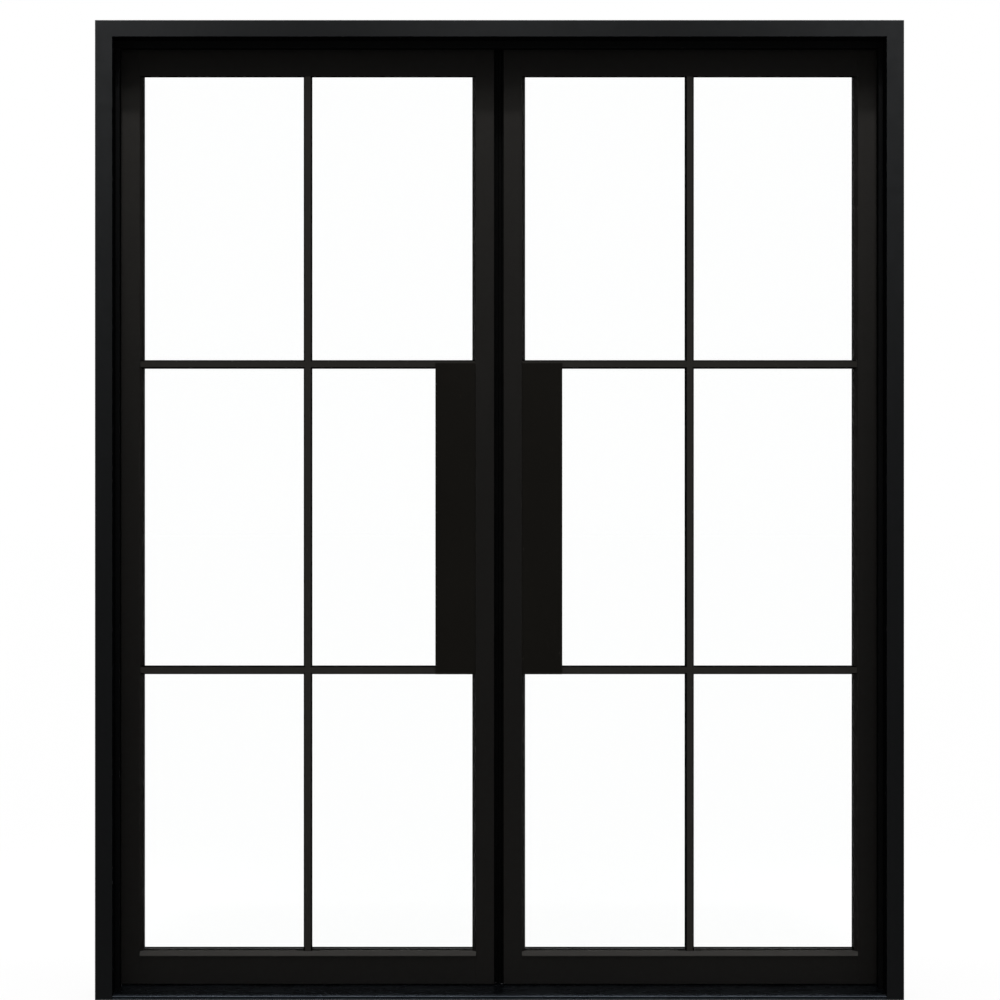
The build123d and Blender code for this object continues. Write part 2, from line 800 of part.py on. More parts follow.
def bolt(upper):
    """Sliding bolt: a round rod with a thumb tab that stands out of the meeting edge."""
    rod_span, tab_span, slot_span = bolt_spans(upper)
    rod = upright_rod(bolt_x, bolt_y, bolt_radius, rod_span)
    rod = chamfer(rod.edges().filter_by(GeomType.CIRCLE), bolt_tip_chamfer)
    tab_y = (bolt_y - bolt_tab_width / 2, bolt_y + bolt_tab_width / 2)
    return rod + block((bolt_x, -meeting_x + bolt_tab_proud), tab_y, tab_span)


def bolt_cuts():
    """Bores in the end caps and slots in the edge of the meeting stile that carries the bolts."""
    cuts = []
    half = bolt_tab_width / 2 + bolt_slot_clearance
    slot_x = (-meeting_x - leaf_wall - bolt_clearance, -meeting_x + overrun)
    for upper, end in ((True, leaf_top), (False, leaf_bottom)):
        rod_span, tab_span, slot_span = bolt_spans(upper)
        bore_span = (end - end_cap_thickness - overrun, end + end_cap_thickness + overrun)
        cuts.append(upright_rod(bolt_x, bolt_y, bolt_radius + bolt_clearance, bore_span))
        cuts.append(block(slot_x, (bolt_y - half, bolt_y + half), slot_span))
    return cuts


def leaf():
    """Every piece of the leaf on the +X side."""
    hinge_stile = stile((hinge_tube_x, hinge_x), hinge_x, [(bead_top_z, top_lip_z)])
    lip_spans = [(bead_top_z, lock_cover_bottom_z), (lock_cover_top_z, top_lip_z)]
    meeting_stile = stile((meeting_x, meeting_tube_x), meeting_x, lip_spans)
    front_cover, back_cover = lock_covers()
    box = lock_box()
    upright_bar = vertical_bar()
    neighbours = (upright_bar, hinge_stile, meeting_stile, box, front_cover)
    upper_bars = cross_bars(upper_bar_height, neighbours)
    lower_bars = cross_bars(lower_bar_height, neighbours)
    pieces = {
        "hinge_stile": hinge_stile,
        "meeting_stile": meeting_stile,
        "top_rail": top_rail(),
        "bottom_rail": bottom_rail(),
        "bottom_bead": bottom_bead(),
        "vertical_bar": upright_bar,
        "upper_bars": upper_bars,
        "lower_bars": lower_bars,
        "lock_box": box,
        "lock_front_cover": front_cover,
        "lock_back_cover": back_cover,
        "lock_cover_screws": cover_screws(),
        "glass_spacers": spacers(),
        "setting_blocks": setting_blocks(),
        "back_beads": back_beads((upright_bar, upper_bars, lower_bars)),
        "meeting_seal": meeting_seal(),
        "bottom_sweep": bottom_sweep(),
    }
    for row in pane_rows():
        pieces[f"{row}_glass"] = panes(row)
    return pieces


def assembly():
    """All nodes by name: the frame, then both leaves and the bolts."""
    sill_body = sill()
    jamb_wings, leaf_wings, pins = hinges()
    sided = {
        "jamb": jamb(),
        "stop": side_stop(sill_body),
        "seal": side_seal(),
        "jamb_hinges": jamb_wings,
        "hinge_pins": pins,
        "leaf_hinges": leaf_wings,
    }
    sided.update(leaf())
    nodes = {
        "head_jamb": head(),
        "head_stop": head_stop(),
        "head_seal": head_seal(),
        "head_strike": strike(),
        "threshold": sill_body,
        "top_bolt": bolt(True),
        "bottom_bolt": bolt(False),
    }
    for name, piece in sided.items():
        nodes[f"right_{name}"] = piece
        nodes[f"left_{name}"] = mirror(piece, about=Plane.YZ)
    for cut in bolt_cuts():
        nodes["left_meeting_stile"] -= cut
    return nodes


for node, piece in assembly().items():
    export_step(piece, f"parts/{node}.step")
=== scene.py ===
import math

import bpy
import numpy as np
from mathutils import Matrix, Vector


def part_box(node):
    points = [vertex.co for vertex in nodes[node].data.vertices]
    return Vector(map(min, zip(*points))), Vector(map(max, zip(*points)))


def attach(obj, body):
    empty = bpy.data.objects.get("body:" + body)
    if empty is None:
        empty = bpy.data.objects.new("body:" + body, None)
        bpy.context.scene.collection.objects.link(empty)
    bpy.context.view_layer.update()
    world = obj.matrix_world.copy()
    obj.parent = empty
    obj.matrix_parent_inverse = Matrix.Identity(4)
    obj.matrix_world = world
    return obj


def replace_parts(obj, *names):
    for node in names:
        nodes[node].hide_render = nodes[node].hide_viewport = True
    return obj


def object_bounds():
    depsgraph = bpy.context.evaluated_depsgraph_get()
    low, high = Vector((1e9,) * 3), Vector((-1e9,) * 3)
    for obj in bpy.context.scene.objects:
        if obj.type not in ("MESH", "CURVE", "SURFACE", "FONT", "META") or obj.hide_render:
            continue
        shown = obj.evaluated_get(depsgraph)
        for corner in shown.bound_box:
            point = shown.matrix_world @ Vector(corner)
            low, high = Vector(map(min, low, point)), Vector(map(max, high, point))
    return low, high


# Pair of black glazed steel doors in their frame, seen square on from outdoors.
# Lengths are metres, -Y is outdoors and +Z is up.
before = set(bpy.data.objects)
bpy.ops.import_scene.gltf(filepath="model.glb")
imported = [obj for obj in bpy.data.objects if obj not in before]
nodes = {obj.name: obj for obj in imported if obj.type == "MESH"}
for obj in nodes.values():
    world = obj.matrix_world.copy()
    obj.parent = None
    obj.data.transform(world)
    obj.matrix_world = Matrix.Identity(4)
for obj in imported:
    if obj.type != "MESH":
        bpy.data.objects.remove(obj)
cad_low, cad_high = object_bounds()

SIDES = ("left", "right")
UP = (0.0, 0.0, 1.0)
DOWN = (0.0, 0.0, -1.0)
INDOORS = (0.0, 1.0, 0.0)

# Camera, set back from the frame's outdoor face
CAMERA_DISTANCE = 4.2
CAMERA_X = -0.1057
CAMERA_HEIGHT = 1.046
CAMERA_LENS_MM = 70.85
CAMERA_SENSOR_MM = 36.0
CAMERA_SHIFT_X = 0.05
CAMERA_SHIFT_Y = 0.0101
LEVEL_VIEW = math.radians(90.0)

# Studio: lamps in front of and above the head, given from the head's lower front edge
KEY_FORWARD = 1.6
KEY_ELEVATION = math.radians(68.3)
KEY_TILT = math.radians(67.3)
KEY_SPREAD = math.radians(12.5)
KEY_HEIGHT = 0.2
KEY_POWER_PER_METRE = 1.1
FILL_FORWARD = 1.9
FILL_ELEVATION = math.radians(60.5)
FILL_TILT = math.radians(59.5)
FILL_SPREAD = math.radians(19.0)
FILL_HEIGHT = 0.6
FILL_POWER_PER_METRE = 0.65
LAMP_RUNS = ((-1.6, -0.6), (-0.18, 0.18), (0.6, 1.6))
LAMP_COLOUR = (1.0, 0.99, 0.98)

# Studio: a white room, of which gloss sees the backdrop and the floor behind the doors, and in front of them
# dim cards and a dim mat under a white ceiling, with grey flanks
WHITE = (1.0, 1.0, 1.0, 1.0)
ROOM_LEVEL = 1.0
CARD_LEVEL = 0.02
CEILING_EDGE = (0.6, 0.9)
FLANK_LEVEL = 0.12
FLANK_EDGE = (0.55, 0.8)
FLANK_TURN = (0.15, 0.35)
BACKDROP_EDGE = (0.1, 0.4)
MAT_LEVEL = 0.05
MAT_EDGE = (0.05, 0.25)
FLOOR_HALF = 80.0
FLOOR_COLOUR = (0.97, 0.97, 0.97)
FLOOR_WHITE_SHARE = 0.92

# Finishes, in linear colour
FRAME_BLACK = (0.0010, 0.0011, 0.0012)
FRAME_TINT = (0.92, 0.96, 1.0)
LEAF_BLACK = (0.0033, 0.0029, 0.0024)
LEAF_TINT = (1.0, 0.96, 0.91)
STOP_BLACK = (0.0014, 0.0015, 0.0015)
# Bottom bead grey, far lighter than the leaf black: painted light on its up-facing bevel
BEAD_PAINTED_LIGHT_GREY = (0.0275, 0.0262, 0.0243)
# Lighter colour on up-facing ledges: dust, and painted light where the ledge gets too little
LEDGE_DUST_AND_LIGHT = (0.062, 0.060, 0.056)
# Lighter colour on the bars' front face, painted light; their sides keep the darker stop black as painted
# shade
BAR_LIT_FACE = (0.0186, 0.0176, 0.0158)
COVER_BLACK = (0.0066, 0.0060, 0.0049)
SILL_DARK = (0.138, 0.160, 0.192)
SILL_LIGHT = (0.155, 0.180, 0.214)
SILL_SCUFF = (0.25, 0.265, 0.285)
BOLT_STEEL = (0.56, 0.56, 0.57)
STRIKE_STEEL = (0.5, 0.5, 0.51)
SCREW_STEEL = (0.12, 0.12, 0.125)
SEAL_BLACK = (0.0020, 0.0020, 0.0019)
SPACER_GREY = (0.020, 0.020, 0.020)
GLASS_TINT = (0.997, 1.0, 0.999)
GLASS_INDEX = 1.08

# Powder coat: orange peel, drift of tone, edges lighter from rubbed wear and a painted highlight, dust and
# painted light on ledges, a lighter front as painted light with sides in painted shade, and dull sides
PEEL_SCALE = 420.0
PEEL_STRENGTH = 0.22
PEEL_DEPTH = 0.00006
DRIFT_SCALE = 2.6
COAT_SHADES = (0.88, 1.12)
LIT_FACE_SHADES = (0.93, 1.07)
LIT_FACE_FADE = (0.0001, 0.0005)
PATCH_SCALE = 46.0
COAT_ROUGHNESS_SWING = 0.05
LEAF_EDGE_RADIUS = 0.0012
EDGE_SAMPLES = 6
EDGE_TURN = (0.75, 0.995)
# Edges made lighter: rubbed wear, and a painted highlight along them
RUB_AND_HIGHLIGHT_SHARE = 0.35
RUB_AND_HIGHLIGHT_SHADE = 5.0
LEDGE_TURN = (0.8, 0.98)
DUST_AND_LIGHT_COVER = (0.7, 1.0)
FRONT_TURN = (0.4, 0.9)
SIDE_SPECULAR = 0.0
OPENING_MARGIN = 0.01
OPENING_FADE = 0.002

# Metals: lines drawn along one axis, scuffs and tarnish
SILL_LINES = (1.5, 900.0, 900.0)
SILL_LINE_STRENGTH = 0.03
SILL_EDGE_RADIUS = 0.0006
SILL_ROUGHNESS = (0.22, 0.34)
SCUFF_STRETCH = (9.0, 60.0, 60.0)
SCUFF_SHARE = 0.25
SCUFF_BAND = (0.6, 0.8)
UPRIGHT_LINES = (700.0, 700.0, 4.0)
CROSS_LINES = (5.0, 700.0, 700.0)
EVEN_GRAIN = (300.0, 300.0, 300.0)
STEEL_LINE_STRENGTH = 0.3
STEEL_EDGE_RADIUS = 0.0004
STEEL_ROUGHNESS = (0.22, 0.4)
TARNISH_SCALE = 130.0
TARNISH_SHADES = (0.8, 1.0)
LINE_DEPTH = 0.00003

# Rubber: pores and bloom; glass: wipe marks
PORE_SCALE = 900.0
PORE_STRENGTH = 0.3
PORE_DEPTH = 0.00004
BLOOM_SCALE = 24.0
BLOOM_SHADES = (0.75, 1.3)
BLOOM_ROUGHNESS_SWING = 0.08
WIPE_STRETCH = (3.0, 1.0, 14.0)
WIPE_BAND = (0.45, 0.75)
GLASS_ROUGHNESS = (0.0, 0.03)

# Middle band of a noise factor, whole band of a share, and the colour sockets of a mix
NOISE_BAND = (0.3, 0.7)
SHARE_BAND = (0.0, 1.0)
MIX_FIRST = 6
MIX_SECOND = 7
MIX_COLOUR = 2

# Welds round the hinge wings
HINGE_HALF = 0.05
WING_START = 0.009
WELD_RADIUS = 0.0028
WELD_STEP = 0.0008
WELD_AROUND = 14
WELD_PITCH = 0.0032
WELD_RIPPLE = 0.09
WELD_LEAN = 0.3
WELD_OFFSET = 0.2
WELD_TAPER_RADII = 2.0
WELD_TIP_SHARE = 0.02

# Soft bulb of the meeting seals
BULB_CENTRE = 0.0034
BULB_RADIUS = 0.0036
BULB_WALL = 0.0009
BULB_NECK = 0.0016
BULB_AROUND = 40
PLUG_REACH = 0.0018
PLUG_CLEARANCE = 0.0002
SEAL_BASE = 0.0012
SEAL_BASE_HALF = 0.006


# Node helpers

def wire(tree, source, target):
    """Links one socket to another."""
    tree.links.new(source, target)


def new_material(name):
    """An empty node material, its tree and its surface shader."""
    material = bpy.data.materials.new(name)
    material.use_nodes = True
    tree = material.node_tree
    tree.nodes.clear()
    output = tree.nodes.new("ShaderNodeOutputMaterial")
    shader = tree.nodes.new("ShaderNodeBsdfPrincipled")
    wire(tree, shader.outputs["BSDF"], output.inputs["Surface"])
    return material, tree, shader


def noise(tree, vector, scale=1.0, detail=2.0, rough=0.5):
    """Noise factor on a vector."""
    node = tree.nodes.new("ShaderNodeTexNoise")
    node.inputs["Scale"].default_value = scale
    node.inputs["Detail"].default_value = detail
    node.inputs["Roughness"].default_value = rough
    wire(tree, vector, node.inputs["Vector"])
    return node.outputs["Fac"]


def object_place(tree, stretch=(1.0, 1.0, 1.0)):
    """Object coordinates, stretched along the axes."""
    place = tree.nodes.new("ShaderNodeTexCoord")
    mapping = tree.nodes.new("ShaderNodeMapping")
    mapping.inputs["Scale"].default_value = stretch
    wire(tree, place.outputs["Object"], mapping.inputs["Vector"])
    return mapping.outputs["Vector"]


def along(tree, vector, axis):
    """One axis of a vector."""
    axes = tree.nodes.new("ShaderNodeSeparateXYZ")
    wire(tree, vector, axes.inputs["Vector"])
    return axes.outputs[axis]


def facing(tree, axis):
    """How far a surface faces along one of the object's own axes."""
    place = tree.nodes.new("ShaderNodeTexCoord")
    return along(tree, place.outputs["Normal"], axis)


def spread(tree, value, low, high, band=NOISE_BAND):
    """A value carried from a band to low..high."""
    node = tree.nodes.new("ShaderNodeMapRange")
    start, end = band
    node.inputs["From Min"].default_value = start
    node.inputs["From Max"].default_value = end
    node.inputs["To Min"].default_value = low
    node.inputs["To Max"].default_value = high
    wire(tree, value, node.inputs["Value"])
    return node.outputs["Result"]


def arithmetic(tree, operation, first, second=0.0):
    """One step of arithmetic on two values, each a socket or a number."""
    node = tree.nodes.new("ShaderNodeMath")
    node.operation = operation
    for value, socket in zip((first, second), node.inputs):
        if isinstance(value, (int, float)):
            socket.default_value = value
        else:
            wire(tree, value, socket)
    return node.outputs["Value"]


def blend_colour(tree, factor, first, second):
    """Colour between two colours, each a socket or three numbers."""
    node = tree.nodes.new("ShaderNodeMix")
    node.data_type = "RGBA"
    wire(tree, factor, node.inputs["Factor"])
    for value, socket in ((first, node.inputs[MIX_FIRST]), (second, node.inputs[MIX_SECOND])):
        if isinstance(value, tuple):
            socket.default_value = (*value, 1.0)
        else:
            wire(tree, value, socket)
    return node.outputs[MIX_COLOUR]


def toned(colour, share):
    """A colour made lighter or darker by a share."""
    return tuple(channel * share for channel in colour)


def blend_shades(tree, factor, colour, shades):
    """Colour between a darker and a lighter shade of one colour."""
    dark, light = shades
    return blend_colour(tree, factor, toned(colour, dark), toned(colour, light))


def soft_edges(tree, radius):
    """Normal of the surface with its sharp edges rounded to a radius."""
    node = tree.nodes.new("ShaderNodeBevel")
    node.samples = EDGE_SAMPLES
    node.inputs["Radius"].default_value = radius
    return node.outputs["Normal"]


def edge_mask(tree, radius):
    """How far an edge turns away from its face: 0 on a flat, rising to 1 at a sharp corner."""
    geometry = tree.nodes.new("ShaderNodeNewGeometry")
    dot = tree.nodes.new("ShaderNodeVectorMath")
    dot.operation = "DOT_PRODUCT"
    rounded, flat = dot.inputs[:2]
    wire(tree, soft_edges(tree, radius), rounded)
    wire(tree, geometry.outputs["True Normal"], flat)
    return spread(tree, dot.outputs["Value"], 1.0, 0.0, EDGE_TURN)


def bump(tree, height, strength, depth, normal=None):
    """Normal bent by a height."""
    node = tree.nodes.new("ShaderNodeBump")
    node.inputs["Strength"].default_value = strength
    node.inputs["Distance"].default_value = depth
    wire(tree, height, node.inputs["Height"])
    if normal is not None:
        wire(tree, normal, node.inputs["Normal"])
    return node.outputs["Normal"]


# Finishes

def powder_coat(name, colour, tint, roughness, specular, edge_radius=0.0, face=None, opening=None, dust_and_light=None):
    """Satin powder coat: orange peel in the bump, slow drift of tone, edges softened and made lighter by
    rubbed wear and a painted highlight, and dull sides where a surface turns away from the front. face gives
    a lighter colour for the front, painted light, and the depth in Y to which it reaches from outdoors, the
    sides behind keeping the darker colour as painted shade; opening gives the half width and the height past
    which sides keep their gloss, and the last argument a colour of dust and painted light that lies on
    ledges."""
    material, tree, shader = new_material(name)
    place = object_place(tree)
    peel = noise(tree, place, PEEL_SCALE)
    drift = spread(tree, noise(tree, place, DRIFT_SCALE, detail=3.0), 0.0, 1.0)
    patches = noise(tree, place, PATCH_SCALE, detail=5.0, rough=0.6)
    base = blend_shades(tree, drift, colour, COAT_SHADES)
    normal = None
    if edge_radius:
        normal = soft_edges(tree, edge_radius)
        # Lighter edges: rubbed wear and a painted highlight
        worn_and_highlit = spread(tree, patches, 0.0, RUB_AND_HIGHLIGHT_SHARE)
        rub_and_highlight = arithmetic(tree, "MULTIPLY", edge_mask(tree, edge_radius), worn_and_highlit)
        base = blend_colour(tree, rub_and_highlight, base, toned(colour, RUB_AND_HIGHLIGHT_SHADE))
    if face:
        # Lighter front down to a depth in Y, painted light, with the sides behind left darker as painted
        # shade
        light, depth = face
        fade = tuple(depth + step for step in LIT_FACE_FADE)
        lit_front = spread(tree, along(tree, place, "Y"), 1.0, 0.0, fade)
        base = blend_colour(tree, lit_front, base, blend_shades(tree, drift, light, LIT_FACE_SHADES))
    if dust_and_light:
        # Lighter colour on up-facing ledges: dust and painted light
        ledge = spread(tree, facing(tree, "Z"), 0.0, 1.0, LEDGE_TURN)
        settled_and_lit = arithmetic(tree, "MULTIPLY", ledge, spread(tree, patches, *DUST_AND_LIGHT_COVER))
        base = blend_colour(tree, settled_and_lit, base, dust_and_light)
    shine = spread(tree, arithmetic(tree, "ABSOLUTE", facing(tree, "Y")), 0.0, 1.0, FRONT_TURN)
    if opening:
        half, top = opening
        width = arithmetic(tree, "ABSOLUTE", along(tree, place, "X"))
        across = spread(tree, width, 0.0, 1.0, (half, half + OPENING_FADE))
        above = spread(tree, along(tree, place, "Z"), 0.0, 1.0, (top, top + OPENING_FADE))
        shine = arithmetic(tree, "MAXIMUM", shine, arithmetic(tree, "MAXIMUM", across, above))
    gloss = spread(tree, shine, SIDE_SPECULAR, specular, SHARE_BAND)
    swing = (roughness - COAT_ROUGHNESS_SWING, roughness + COAT_ROUGHNESS_SWING)
    wire(tree, base, shader.inputs["Base Color"])
    wire(tree, spread(tree, patches, *swing), shader.inputs["Roughness"])
    wire(tree, bump(tree, peel, PEEL_STRENGTH, PEEL_DEPTH, normal), shader.inputs["Normal"])
    shader.inputs["Specular IOR Level"].default_value = specular
    wire(tree, gloss, shader.inputs["Specular IOR Level"])
    shader.inputs["Specular Tint"].default_value = (*tint, 1.0)
    return material


def anodised_sill():
    """Dark anodised aluminium: drawing lines along the sill, faint scuffs where feet cross it."""
    material, tree, shader = new_material("anodised_sill")
    lines = noise(tree, object_place(tree, SILL_LINES), detail=3.0, rough=0.65)
    scuffs = noise(tree, object_place(tree, SCUFF_STRETCH), detail=5.0, rough=0.62)
    drawn = blend_colour(tree, spread(tree, lines, 0.0, 1.0), SILL_DARK, SILL_LIGHT)
    scuffed = blend_colour(tree, spread(tree, scuffs, 0.0, SCUFF_SHARE, SCUFF_BAND), drawn, SILL_SCUFF)
    edges = soft_edges(tree, SILL_EDGE_RADIUS)
    wire(tree, scuffed, shader.inputs["Base Color"])
    wire(tree, spread(tree, scuffs, *SILL_ROUGHNESS), shader.inputs["Roughness"])
    wire(tree, bump(tree, lines, SILL_LINE_STRENGTH, LINE_DEPTH, edges), shader.inputs["Normal"])
    shader.inputs["Metallic"].default_value = 1.0
    return material


def brushed_steel(name, colour, stretch):
    """Steel with fine lines along one axis and a little tarnish."""
    material, tree, shader = new_material(name)
    lines = noise(tree, object_place(tree, stretch), detail=3.0, rough=0.6)
    tarnish = noise(tree, object_place(tree), TARNISH_SCALE, detail=4.0, rough=0.6)
    base = blend_shades(tree, spread(tree, tarnish, 0.0, 1.0), colour, TARNISH_SHADES)
    edges = soft_edges(tree, STEEL_EDGE_RADIUS)
    wire(tree, base, shader.inputs["Base Color"])
    wire(tree, spread(tree, lines, *STEEL_ROUGHNESS), shader.inputs["Roughness"])
    wire(tree, bump(tree, lines, STEEL_LINE_STRENGTH, LINE_DEPTH, edges), shader.inputs["Normal"])
    shader.inputs["Metallic"].default_value = 1.0
    return material


def moulded_rubber(name, colour, roughness, specular):
    """Black extruded rubber: dusty bloom, fine pores."""
    material, tree, shader = new_material(name)
    place = object_place(tree)
    pores = noise(tree, place, PORE_SCALE)
    bloom = noise(tree, place, BLOOM_SCALE, detail=5.0, rough=0.65)
    base = blend_shades(tree, spread(tree, bloom, 0.0, 1.0), colour, BLOOM_SHADES)
    swing = (roughness - BLOOM_ROUGHNESS_SWING, roughness + BLOOM_ROUGHNESS_SWING)
    wire(tree, base, shader.inputs["Base Color"])
    wire(tree, spread(tree, bloom, *swing), shader.inputs["Roughness"])
    wire(tree, bump(tree, pores, PORE_STRENGTH, PORE_DEPTH), shader.inputs["Normal"])
    shader.inputs["Specular IOR Level"].default_value = specular
    return material


def clear_glass():
    """Clear float glass: a trace of tint, and wipe marks that only show in a reflection."""
    material, tree, shader = new_material("clear_glass")
    smear = noise(tree, object_place(tree, WIPE_STRETCH), detail=5.0, rough=0.6)
    wire(tree, spread(tree, smear, *GLASS_ROUGHNESS, WIPE_BAND), shader.inputs["Roughness"])
    shader.inputs["Base Color"].default_value = (*GLASS_TINT, 1.0)
    shader.inputs["Transmission Weight"].default_value = 1.0
    shader.inputs["IOR"].default_value = GLASS_INDEX
    return material


bar_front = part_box("right_vertical_bar")[0].y
frame_opening = (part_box("right_jamb")[0].x + OPENING_MARGIN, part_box("head_jamb")[0].z + OPENING_MARGIN)
FINISHES = {
    "frame": powder_coat(
        "frame_powder_coat", FRAME_BLACK, FRAME_TINT, roughness=0.55, specular=0.9, opening=frame_opening
    ),
    "stop": powder_coat("stop_powder_coat", STOP_BLACK, FRAME_TINT, roughness=0.7, specular=0.2),
    "leaf": powder_coat(
        "leaf_powder_coat", LEAF_BLACK, LEAF_TINT, roughness=0.55, specular=0.86, edge_radius=LEAF_EDGE_RADIUS
    ),
    # Bottom bead: grey as painted light on its up-facing bevel, with dust and painted light on its ledge
    "bead": powder_coat(
        "bead_powder_coat", BEAD_PAINTED_LIGHT_GREY, LEAF_TINT, roughness=0.5, specular=0.6, dust_and_light=LEDGE_DUST_AND_LIGHT
    ),
    # Bars: lighter front face as painted light, darker sides as painted shade
    "bar": powder_coat(
        "bar_powder_coat", STOP_BLACK, LEAF_TINT, roughness=0.7, specular=0.04, face=(BAR_LIT_FACE, bar_front)
    ),
    "cover": powder_coat("cover_powder_coat", COVER_BLACK, LEAF_TINT, roughness=0.65, specular=0.05),
    "sill": anodised_sill(),
    "steel": brushed_steel("bolt_steel", BOLT_STEEL, UPRIGHT_LINES),
    "plate": brushed_steel("strike_steel", STRIKE_STEEL, CROSS_LINES),
    "screw": brushed_steel("blackened_steel", SCREW_STEEL, EVEN_GRAIN),
    "seal": moulded_rubber("seal_rubber", SEAL_BLACK, roughness=0.75, specular=0.12),
    "spacer": moulded_rubber("spacer_polymer", SPACER_GREY, roughness=0.6, specular=0.04),
    "glass": clear_glass(),
}

# Which finish each piece takes, by the last words of its node's name
NODE_FINISHES = {
    "jamb": "frame",
    "stop": "stop",
    "hinges": "frame",
    "stile": "leaf",
    "rail": "leaf",
    "bottom_bead": "bead",
    "back_beads": "leaf",
    "bar": "bar",
    "bars": "bar",
    "lock_box": "cover",
    "cover": "cover",
    "threshold": "sill",
    "bolt": "steel",
    "hinge_pins": "steel",
    "strike": "plate",
    "screws": "screw",
    "seal": "seal",
    "sweep": "seal",
    "setting_blocks": "seal",
    "spacers": "spacer",
    "glass": "glass",
}


def dress_nodes():
    """Gives every CAD node the finish whose words end its name, the longest match first."""
    endings = sorted(NODE_FINISHES, key=len, reverse=True)
    for name, piece in nodes.items():
        ending = next(words for words in endings if name.endswith(words))
        piece.data.materials.clear()
        piece.data.materials.append(FINISHES[NODE_FINISHES[ending]])


# Studio

def ray_is(tree, *kinds):
    """1 for rays of the named kinds, else 0."""
    path = tree.nodes.new("ShaderNodeLightPath")
    total = path.outputs[kinds[0]]
    for kind in kinds[1:]:
        total = arithmetic(tree, "MAXIMUM", total, path.outputs[kind])
    return total


def after_gloss(tree):
    """1 for rays that come off a glossy surface, at once or later, else 0."""
    path = tree.nodes.new("ShaderNodeLightPath")
    return arithmetic(tree, "MINIMUM", path.outputs["Glossy Depth"], 1.0)


def studio_world():
    """White room: white to the camera, through glass and in gloss that looks behind the doors. In front of
    them gloss sees a white ceiling, grey flanks and dim cards between them."""
    world = bpy.data.worlds.new("studio")
    world.use_nodes = True
    tree = world.node_tree
    tree.nodes.clear()
    output = tree.nodes.new("ShaderNodeOutputWorld")
    room = tree.nodes.new("ShaderNodeBackground")
    room.inputs["Color"].default_value = WHITE
    way = tree.nodes.new("ShaderNodeTexCoord").outputs["Generated"]
    ceiling = spread(tree, along(tree, way, "Z"), CARD_LEVEL, 1.0, CEILING_EDGE)
    width = arithmetic(tree, "ABSOLUTE", along(tree, way, "X"))
    depth = arithmetic(tree, "ABSOLUTE", along(tree, way, "Y"))
    turn = spread(tree, depth, 0.0, FLANK_LEVEL, FLANK_TURN)
    flanks = arithmetic(tree, "MULTIPLY", spread(tree, width, 0.0, 1.0, FLANK_EDGE), turn)
    backdrop = spread(tree, along(tree, way, "Y"), 0.0, 1.0, BACKDROP_EDGE)
    cards = arithmetic(tree, "MAXIMUM", arithmetic(tree, "MAXIMUM", ceiling, flanks), backdrop)
    gloss = after_gloss(tree)
    plain = arithmetic(tree, "SUBTRACT", 1.0, gloss)
    open_room = arithmetic(tree, "MULTIPLY", plain, ROOM_LEVEL)
    shown = arithmetic(tree, "ADD", open_room, arithmetic(tree, "MULTIPLY", gloss, cards))
    wire(tree, shown, room.inputs["Strength"])
    wire(tree, room.outputs["Background"], output.inputs["Surface"])
    bpy.context.scene.world = world


def studio_floor():
    """Pale floor that reads as white and keeps a soft shadow. Gloss sees it white behind the doors and as a
    dim mat in front of them."""
    half = FLOOR_HALF
    corners = [(-half, -half, 0.0), (half, -half, 0.0), (half, half, 0.0), (-half, half, 0.0)]
    mesh = bpy.data.meshes.new("floor")
    mesh.from_pydata(corners, [], [(0, 1, 2, 3)])
    floor = bpy.data.objects.new("floor", mesh)
    bpy.context.scene.collection.objects.link(floor)
    material, tree, shader = new_material("pale_floor")
    shader.inputs["Base Color"].default_value = (*FLOOR_COLOUR, 1.0)
    shader.inputs["Roughness"].default_value = 1.0
    shader.inputs["Specular IOR Level"].default_value = 0.0
    white = tree.nodes.new("ShaderNodeEmission")
    mix = tree.nodes.new("ShaderNodeMixShader")
    white_share, lit_side, white_side = mix.inputs
    seen = ray_is(tree, "Is Camera Ray", "Is Glossy Ray", "Is Transmission Ray")
    gloss = after_gloss(tree)
    front = spread(tree, along(tree, object_place(tree), "Y"), 1.0 - MAT_LEVEL, 0.0, MAT_EDGE)
    mat = arithmetic(tree, "MULTIPLY", gloss, front)
    wire(tree, arithmetic(tree, "SUBTRACT", 1.0, mat), white.inputs["Strength"])
    share = arithmetic(tree, "MAXIMUM", arithmetic(tree, "MULTIPLY", seen, FLOOR_WHITE_SHARE), gloss)
    wire(tree, share, white_share)
    wire(tree, shader.outputs["BSDF"], lit_side)
    wire(tree, white.outputs["Emission"], white_side)
    output = next(node for node in tree.nodes if node.type == "OUTPUT_MATERIAL")
    wire(tree, mix.outputs["Shader"], output.inputs["Surface"])
    mesh.materials.append(material)


def lamp_row(name, forward, elevation, tilt, grid, height, power_per_metre):
    """Row of strip lamps with grids, in front of the head and above it, tilted down towards the doors."""
    head_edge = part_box("head_jamb")[0].z
    for start, end in LAMP_RUNS:
        lamp = bpy.data.lights.new(name, "AREA")
        lamp.shape = "RECTANGLE"
        lamp.size = end - start
        lamp.size_y = height
        lamp.energy = power_per_metre * (end - start)
        lamp.spread = grid
        lamp.color = LAMP_COLOUR
        holder = bpy.data.objects.new(name, lamp)
        holder.location = ((start + end) / 2, cad_low.y - forward, head_edge + forward * math.tan(elevation))
        holder.rotation_euler = (LEVEL_VIEW - tilt, 0.0, 0.0)
        bpy.context.scene.collection.objects.link(holder)


